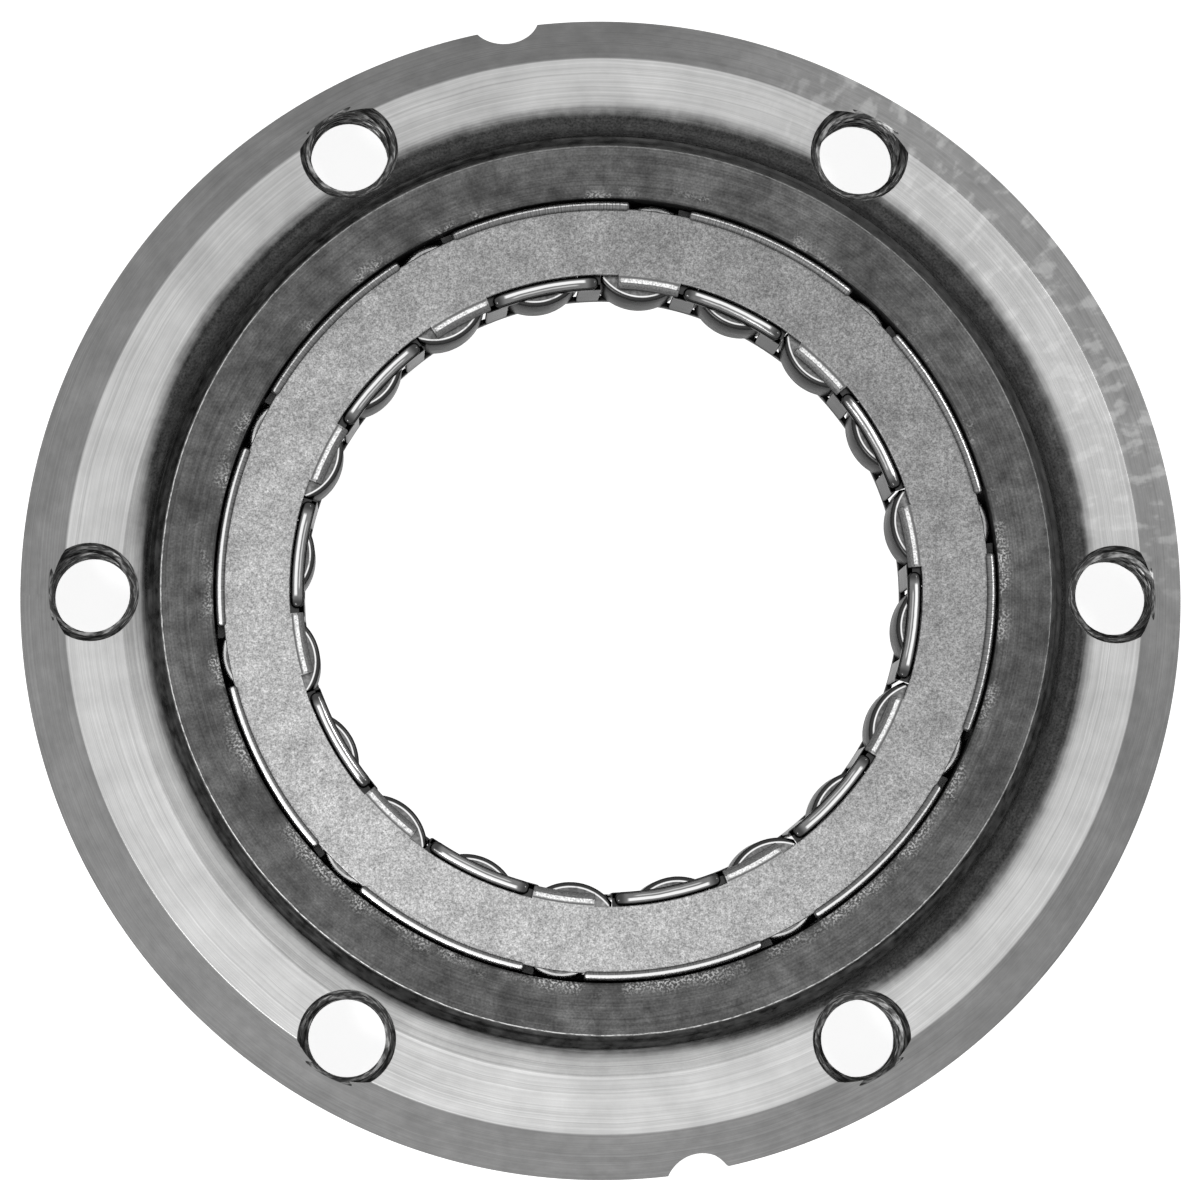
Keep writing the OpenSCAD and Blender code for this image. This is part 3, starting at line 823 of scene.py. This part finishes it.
# %% Turn the blank of the race
HUB_BEVEL_Z = 12.2
HUB_FILLET = 2.6
BORE_BREAK = 0.2
RIM_BREAK = 0.5
race_blank = turned("race_blank", [
    (SEAT_R, 0.0, 0.12), (RIM_R - RIM_BREAK, 0.0, 0.1), (RIM_R, RIM_BREAK, 0.1), (RIM_R, RIM_TOP, 0.25),
    (FLANGE_R, FLANGE_TOP, 0.2), (HUB_R, FLANGE_TOP, HUB_FILLET), (HUB_R, HUB_BEVEL_Z, 0.25),
    (HUB_EDGE_R, HUB_TOP, 0.1), (BORE_R + BORE_BREAK, HUB_TOP, 0.1), (BORE_R, HUB_TOP - BORE_BREAK, 0.08),
    (BORE_R, SEAT_TOP, 0.1), (SEAT_R, SEAT_TOP, 0.1)], step=10, count=480)
print("blank:", len(race_blank.data.polygons), "faces")

# %% The tree of the taps: the radius of a threaded rod at each height and angle
TAP_BELOW, TAP_LENGTH = 1.0, 14.0
CREST_FROM, CREST_TO = 0.22, 0.86
MOUTH_SLOPE, BACK_SLOPE = -0.6, -0.9
BACK_R, BACK_MOST_R = 4.2, 4.3
tap_tree, given, out = new_tree(
    "Taps", "Geometry",
    [("Pitch", "Float", 1.25), ("Major Radius", "Float", 4.0), ("Minor Radius", "Float", 3.32),
     ("Mouth Radius", "Float", 4.2), ("Mouth Height", "Float", FLANGE_TOP - 0.05),
     ("Circle Radius", "Float", HOLE_CIRCLE_R), ("Count", "Int", HOLE_COUNT), ("Material", "Material", None)],
    [("Geometry", "Geometry")])
rod = put(tap_tree, "GeometryNodeMeshCylinder", {"fill_type": "NGON"}, {
    "Vertices": 48, "Side Segments": 150, "Radius": 1.0, "Depth": TAP_LENGTH})
position = put(tap_tree, "GeometryNodeInputPosition").outputs[0]
where = fields(put(tap_tree, "ShaderNodeSeparateXYZ", inputs={0: position}))
height = where["Z"] + (TAP_LENGTH / 2 - TAP_BELOW)
helix = where["Y"].maths("ARCTAN2", where["X"]) / math.tau
wave = abs((height / given["Pitch"] - helix).maths("FRACT") * 2.0 - 1.0)
crest = ramp(wave, CREST_FROM, CREST_TO, kind="LINEAR")
thread = crest * (given["Major Radius"] - given["Minor Radius"]) + given["Minor Radius"]
mouth = (given["Mouth Height"] - height) * MOUTH_SLOPE + given["Mouth Radius"]
mouth = given["Mouth Radius"].maths("MINIMUM", mouth)
back = (height * BACK_SLOPE + BACK_R).maths("MINIMUM", BACK_MOST_R)
rod_radius = greatest(thread, mouth, back)
print("the rod stands from", -TAP_BELOW, "to", TAP_LENGTH - TAP_BELOW)

# %% Bend the rod, and stand six of them on their circle
bent = vector(tap_tree, where["X"] * rod_radius + given["Circle Radius"], where["Y"] * rod_radius, height)
shaped = put(tap_tree, "GeometryNodeSetPosition", inputs={"Geometry": rod.outputs["Mesh"], "Position": bent})
small = put(tap_tree, "GeometryNodeTransform", inputs={
    "Geometry": shaped.outputs[0], "Scale": (MM, MM, MM)})
taps = put(tap_tree, "GeometryNodeGroup", {"node_tree": repeat}, {
    "Part": small.outputs[0], "Count": given["Count"]})
end_tree(tap_tree, out, taps.outputs[0], given["Material"])
tap_tool = baked("tap_tool", tap_tree, {"Material": race_steel})
print("six taps:", len(tap_tool.data.polygons), "faces")

# %% Cut the holes and the two scallops
SCALLOP_R, SCALLOP_CIRCLE_R = 3.0, 51.35
SCALLOP_ANGLES = (99.5, 279.5)


def cut(blank, tools, name):
    """The blank with the tools cut out of it, as a plain mesh."""
    for tool in tools:
        modifier = blank.modifiers.new("cut", "BOOLEAN")
        modifier.operation = "DIFFERENCE"
        modifier.solver = "EXACT"
        modifier.object = tool
    mesh = as_plain_mesh(blank)
    removed([blank, *tools])
    return new_object(name, mesh)


def scallop_tool(angle):
    """A round cutter that stands beside the rim."""
    a = math.radians(angle)
    ring = arc(SCALLOP_CIRCLE_R * math.cos(a), SCALLOP_CIRCLE_R * math.sin(a), SCALLOP_R, 0, 360, 65)[:-1]
    return skin("scallop_tool", [at_height(ring, z) for z in (-1.0, FLANGE_TOP + 2.0)])


race_ring = cut(race_blank, [tap_tool] + [scallop_tool(a) for a in SCALLOP_ANGLES], "race_ring")
finish_piece(race_ring, race_steel, "outer_race", "outer_race", sharp=28)

# %% [markdown]
# ## The outer cage
# The outer cage is pressed from sheet: a band with twenty windows, a flat face in front, a rolled lip that is
# cut away at ten gaps, and ten tabs bent down at the inner edge. The rings are turned, the bars between the
# windows are lofted with the flare of a round window corner, and the front is swept.

# %% A bar between two windows
WINDOW_CORNER = 0.6
BAR_EDGE = 0.08


def bar(name, r_in, r_out, half_in, half_out, low_flares, top_flares, middle=0.0):
    """A lofted bar about an angle, with its half widths in degrees inside and outside. The flares say how
    far the window corners to its right and left widen it, at its foot and at its top."""
    levels = [WINDOW_LOW - 0.1] + [WINDOW_LOW + along for along, _ in quarter_arc(WINDOW_CORNER)]
    levels += [WINDOW_LOW + WINDOW_TOP - z for z in reversed(levels)]
    rings = []
    r_mid = (r_in + r_out) / 2
    inside, outside = math.radians(half_in) * r_mid, math.radians(half_out) * r_mid
    for z in levels:
        at_foot = z < (WINDOW_LOW + WINDOW_TOP) / 2
        depth = (z - WINDOW_LOW) if at_foot else (WINDOW_TOP - z)
        left_over = WINDOW_CORNER - max(0.0, min(WINDOW_CORNER, depth))
        flare = WINDOW_CORNER - math.sqrt(WINDOW_CORNER ** 2 - left_over ** 2)
        right, left = [flare * share for share in (low_flares if at_foot else top_flares)]
        section = rounded([
            (r_in, -inside - right, 2.5 * BAR_EDGE), (r_out, -outside - right, BAR_EDGE),
            (r_out, outside + left, BAR_EDGE), (r_in, inside + left, 2.5 * BAR_EDGE)], step=30)
        angles = section[:, 1] / r_mid + math.radians(middle)
        bent = np.column_stack([section[:, 0] * np.cos(angles), section[:, 0] * np.sin(angles)])
        rings.append(at_height(bent, z))
    return skin(name, rings)


BAND_IN, BAND_OUT = 32.45, 33.05
BAND_BAR_HALF = 4.18
outer_bar = bar("outer_bar", BAND_IN, BAND_OUT, BAND_BAR_HALF, BAND_BAR_HALF, (1, 1), (1, 1))
print("bar:", len(outer_bar.data.polygons), "faces")

# %% Rings of the outer cage: its foot with the rear flange, and its front face
REAR_R, REAR_LOW, REAR_TOP = 34.64, 0.3, 0.9
FACE_IN, FACE_OUT = 26.76, 32.42
outer_rings = joined("outer_rings", [
    turned("rear", [
        (BAND_IN, REAR_LOW, 0.35), (REAR_R, REAR_LOW, 0.12), (REAR_R, REAR_TOP, 0.12),
        (BAND_OUT, REAR_TOP, 0.1), (BAND_OUT, WINDOW_LOW, 0.08), (BAND_IN, WINDOW_LOW, 0.08)]),
    turned("front", [
        (FACE_IN, FACE_LOW, 0.1), (FACE_OUT, FACE_LOW, 0.1), (FACE_OUT, FACE_TOP, 0.12),
        (FACE_IN, FACE_TOP, 0.12)])])
print("rings:", len(outer_rings.data.polygons), "faces")

# %% Lips and tabs of the outer cage
LIP_OUT, LIP_HALF = 33.02, 0.4
LIP_FOOT, LIP_TOP = 13.3, 14.05
GAP_HALF = 4.55
TAB_HALF = 5.75
LIP_START, LIP_END = TAB_MIDDLE + GAP_HALF, FRONT_STEP + TAB_MIDDLE - GAP_HALF
TAB_START, TAB_END = TAB_MIDDLE - TAB_HALF, TAB_MIDDLE + TAB_HALF
TAB_IN, TAB_OUT, TAB_ROOT = 25.66, 26.26, 27.4
TAB_LOW = 12.6
TAB = rounded([
    (TAB_IN, TAB_LOW, 0.12), (TAB_OUT, TAB_LOW, 0.12), (TAB_OUT, FACE_LOW, 0.05), (TAB_ROOT, FACE_LOW, 0.0),
    (TAB_ROOT, FACE_TOP - 0.02, 0.0), (TAB_IN, FACE_TOP, 0.64)], step=12)


def lip_section(share):
    """A lip: the front rail of the band below, and a round top."""
    half = LIP_HALF * (0.35 + 0.65 * share)
    top = LIP_TOP - 0.25 * (1 - share)
    mid = LIP_OUT - LIP_HALF
    rail = [(BAND_IN, WINDOW_TOP), (LIP_OUT, WINDOW_TOP)]
    foot = [(mid - half, LIP_FOOT), (BAND_IN, LIP_FOOT)]
    return np.vstack([rail, arc(mid, top - half, half, 0, 180, 9), foot])


def tab_section(share):
    """A tab: bent down from the face, and drawn in at its ends."""
    return inset(TAB, 0.1 * (1 - share))


outer_front = joined("outer_front", [
    swept("lip", lip_section, LIP_START, LIP_END, r_mid=32.7, end=0.3, count=40),
    swept("tab", tab_section, TAB_START, TAB_END, r_mid=26.0, end=0.1, count=24)])
print("one lip and one tab:", len(outer_front.data.polygons), "faces")

# %% Press the outer cage together
OUTER_LEAD = -0.24
outer_cage = baked("outer_cage_pressing", cage_tree, {
    "Rings": outer_rings,
    "Bars": outer_bar, "Bar Count": SPRAG_COUNT, "Bar Angle": FIRST_LINE + OUTER_LEAD + PITCH / 2,
    "Fronts": outer_front, "Front Count": FRONT_COUNT, "Front Angle": FIRST_LINE, "Material": outer_steel})
removed([outer_rings, outer_bar, outer_front])
finish_piece(outer_cage, outer_steel, "outer_cage", "outer_cage")

# %% [markdown]
# ## The inner cage
# The inner cage is a thin band with windows for the inner heads. Ten long rolled lugs stand on its front
# edge, with a painted highlight along their crown, and stop against the tabs of the outer cage.

# %% Ring and bars of the inner cage
INNER_LEAD = 0.82
RING_IN, RING_OUT, RING_LOW = 25.56, 26.05, 3.6
RING_BAR_HALVES = (2.9, 1.8)
inner_rings = turned("inner_rings", [
    (RING_IN, RING_LOW, 0.12), (RING_OUT, RING_LOW, 0.12), (RING_OUT, WINDOW_LOW, 0.06),
    (RING_IN, WINDOW_LOW, 0.06)])
inner_bars = joined("inner_bars", [
    bar("lug_start_bar", RING_IN, RING_OUT, *RING_BAR_HALVES, (0.3, 0.3), (0, 0.3)),
    bar("lug_end_bar", RING_IN, RING_OUT, *RING_BAR_HALVES, (0.3, 0.3), (0.3, 0), middle=PITCH)])
print("two bars:", len(inner_bars.data.polygons), "faces")

# %% Lugs of the inner cage, with a thin foot at both ends
LUG_IN, LUG_HALF, LUG_TOP = 25.54, 0.585, 13.6
LUG_START, LUG_END = 8.32, FRONT_STEP + TAB_START - 0.85
FOOT_LOW, FOOT_TOP = WINDOW_TOP + 0.02, WINDOW_TOP + 0.1
FOOT_IN, FOOT_OUT = 25.62, 27.3
START_FOOT, END_FOOT = (7.85, 12.0), (25.8, 29.6)
FOOT = np.array([(FOOT_IN, FOOT_LOW), (FOOT_OUT, FOOT_LOW), (FOOT_OUT, FOOT_TOP), (FOOT_IN, FOOT_TOP)])


def lug_section(share):
    """A lug: straight flanks and a round top, drawn in towards its ends."""
    half = LUG_HALF * (0.12 + 0.88 * share)
    top = LUG_TOP - 0.5 * (1 - share) ** 1.5
    mid = LUG_IN + LUG_HALF
    sheet = mid - 0.1 * half
    foot = [(mid - half, FOOT_LOW), (sheet, FOOT_LOW), (sheet, FOOT_TOP), (mid + half, FOOT_TOP)]
    return np.vstack([foot, arc(mid, top - half, half, 0, 180, 17)])


def foot_section(share):
    """A foot: a thin flat plate."""
    return inset(FOOT, 0.02 * (1 - share))


inner_front = joined("inner_front", [
    swept("lug", lug_section, LUG_START, LUG_END, r_mid=LUG_CROWN_R, end=0.6, count=36),
    swept("start_foot", foot_section, *START_FOOT, r_mid=26.4, end=0.03, count=8),
    swept("end_foot", foot_section, *END_FOOT, r_mid=26.4, end=0.03, count=8)])
print("one lug and its feet:", len(inner_front.data.polygons), "faces")

# %% Press the inner cage together
inner_cage = baked("inner_cage_pressing", cage_tree, {
    "Rings": inner_rings,
    "Bars": inner_bars, "Bar Count": FRONT_COUNT, "Bar Angle": FIRST_LINE + INNER_LEAD + PITCH / 2,
    "Fronts": inner_front, "Front Count": FRONT_COUNT, "Front Angle": FIRST_LINE, "Material": inner_steel})
removed([inner_rings, inner_bars, inner_front])
finish_piece(inner_cage, inner_steel, "inner_cage", "inner_cage")

# %% [markdown]
# ## The sprags
# A sprag is a slice of drawn bar: an outer cam that grips the race, a waist for the spring, and an inner cam
# that grips the hub. Its outline is drawn once at twelve o'clock, from the arcs of both cams and of the two
# hollows, and its ends are rounded by tumbling. Each sprag turns on its own body, so each is its own piece.

# %% Draw one sprag
HOLLOW_X, HOLLOW_Y, HOLLOW_R = 3.6, 29.25, 2.1


def cam_end(cam, half_width, up):
    """The arc of a cam between its two flat sides, anticlockwise."""
    shift, cam_radius = cam
    a = math.degrees(math.acos(half_width / cam_radius))
    first, last, count = (a, 180 - a, 25) if up else (180 + a, 360 - a, 33)
    return arc(shift, CAM_R, cam_radius, first, last, count)


right_hollow = arc(HOLLOW_X, HOLLOW_Y, HOLLOW_R, 220, 140, 15)
left_hollow = arc(-HOLLOW_X, HOLLOW_Y, HOLLOW_R, 40, -40, 15)
sprag_outline = np.vstack([
    cam_end(OUTER_CAM, 2.7, True), [(-2.4, 31.62), (-2.28, 31.35), (-1.98, 31.0)],
    left_hollow[1:-1], [(-2.2, 27.72), (-3.0, 27.5), (-3.5, 27.16), (-3.62, 26.8)],
    cam_end(INNER_CAM, 3.2, False), [(2.78, 26.8), (2.66, 27.16), (2.3, 27.6)],
    right_hollow[1:-1], [(2.1, 30.9), (2.62, 31.14), (2.92, 31.35), (3.0, 31.62)]])
low_edge = [(SPRAG_LOW + along, depth) for along, depth in quarter_arc(SPRAG_EDGE)]
top_edge = [(SPRAG_TOP - along, depth) for along, depth in reversed(quarter_arc(SPRAG_EDGE))]
sprag_rings = np.array([at_height(inset(sprag_outline, depth), z) for z, depth in low_edge + top_edge])
print("outline:", len(sprag_outline), "points, from radius", round(sprag_outline[:, 1].min(), 2))

# %% Place the twenty sprags
for k in range(SPRAG_COUNT):
    name = f"sprag_{k + 1:02d}"
    a = math.radians(FIRST_LINE + PITCH * k - 90)
    turn = np.array([(math.cos(a), math.sin(a), 0), (-math.sin(a), math.cos(a), 0), (0, 0, 1)])
    finish_piece(skin("cam_" + name, sprag_rings @ turn), sprag_steel, name, name, sharp=40)

# %% [markdown]
# ## The ribbon spring
# The CAD strip already has its windows and tongues, and little of it shows, so it keeps its own mesh.

# %% Paint the ribbon spring
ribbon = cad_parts["ribbon_spring"]
ribbon.data.materials.clear()
ribbon.data.materials.append(spring_steel)
print("painted", ribbon.name)

# %% [markdown]
# ## Floor, light and camera
# The picture is a plain studio shot from above. The floor is pale and lifts to white for the camera, but
# still takes the shadow. Two large soft lamps stand to the left and right, so that round edges catch a line
# of light on both sides. From here on, sizes are in metres.

# %% Floor
def seen_directly(tree):
    """1 for what the camera sees, straight or in metal or glass, and 0 for light that falls on things."""
    paths = fields(put(tree, "ShaderNodeLightPath"))
    return greatest(paths["Is Camera Ray"], paths["Is Glossy Ray"], paths["Is Transmission Ray"])


FLOOR_HALF, FLOOR_Z = 3, -0.0002
corners = [(x * FLOOR_HALF, y * FLOOR_HALF, FLOOR_Z) for x, y in ((-1, -1), (1, -1), (1, 1), (-1, 1))]
floor_mesh = bpy.data.meshes.new("floor")
floor_mesh.from_pydata(corners, [], [(0, 1, 2, 3)])
floor = new_object("floor", floor_mesh)
pale = bpy.data.materials.new("pale_floor")
pale.use_nodes = True
tree = pale.node_tree
shader = node_of(tree, "BSDF_PRINCIPLED")
feed(shader, {"Base Color": (0.8, 0.8, 0.8, 1), "Roughness": 0.9})
glow = put(tree, "ShaderNodeEmission", inputs={"Color": (1, 1, 1, 1), "Strength": seen_directly(tree) * 0.85})
lifted = put(tree, "ShaderNodeAddShader", inputs={0: shader.outputs[0], 1: glow.outputs[0]})
feed(node_of(tree, "OUTPUT_MATERIAL"), {"Surface": lifted.outputs[0]})
floor_mesh.materials.append(pale)
print("floor at z =", FLOOR_Z)

# %% World and lamps
world = bpy.data.worlds.new("studio")
bpy.context.scene.world = world
world.use_nodes = True
tree = world.node_tree
feed(node_of(tree, "BACKGROUND"), {"Color": (1, 1, 1, 1), "Strength": mixed(seen_directly(tree), 0.5, 1.0)})


def lamp(name, where, size, power):
    """A soft square lamp that faces the clutch."""
    light = bpy.data.lights.new(name, "AREA")
    light.shape = "SQUARE"
    light.size = size
    light.energy = power
    made = new_object(name, light)
    made.location = where
    made.rotation_euler = Vector(where).to_track_quat("Z", "Y").to_euler()


lamp("left_lamp", (-0.30, -0.30, 0.50), size=0.16, power=1.2)
lamp("right_lamp", (0.34, 0.20, 0.50), size=0.10, power=0.5)

# %% Camera
EYE, AIM = Vector((-0.01921, -0.03454, 0.5240)), Vector((-0.00021, -0.00024, 0.0038))
camera_data = bpy.data.cameras.new("camera")
camera_data.sensor_width = 36.0
camera_data.lens = 181.8
camera_data.clip_start, camera_data.clip_end = 0.01, 10
camera = new_object("camera", camera_data)
ahead = (AIM - EYE).normalized()
across = ahead.cross(Vector((0, 1, 0))).normalized()
above = across.cross(ahead)
camera.matrix_world = Matrix.Translation(EYE) @ Matrix((across, above, -ahead)).transposed().to_4x4()
bpy.context.scene.camera = camera
bpy.context.scene.view_settings.view_transform = "Standard"
print("camera", round((AIM - EYE).length, 3), "m from the clutch")
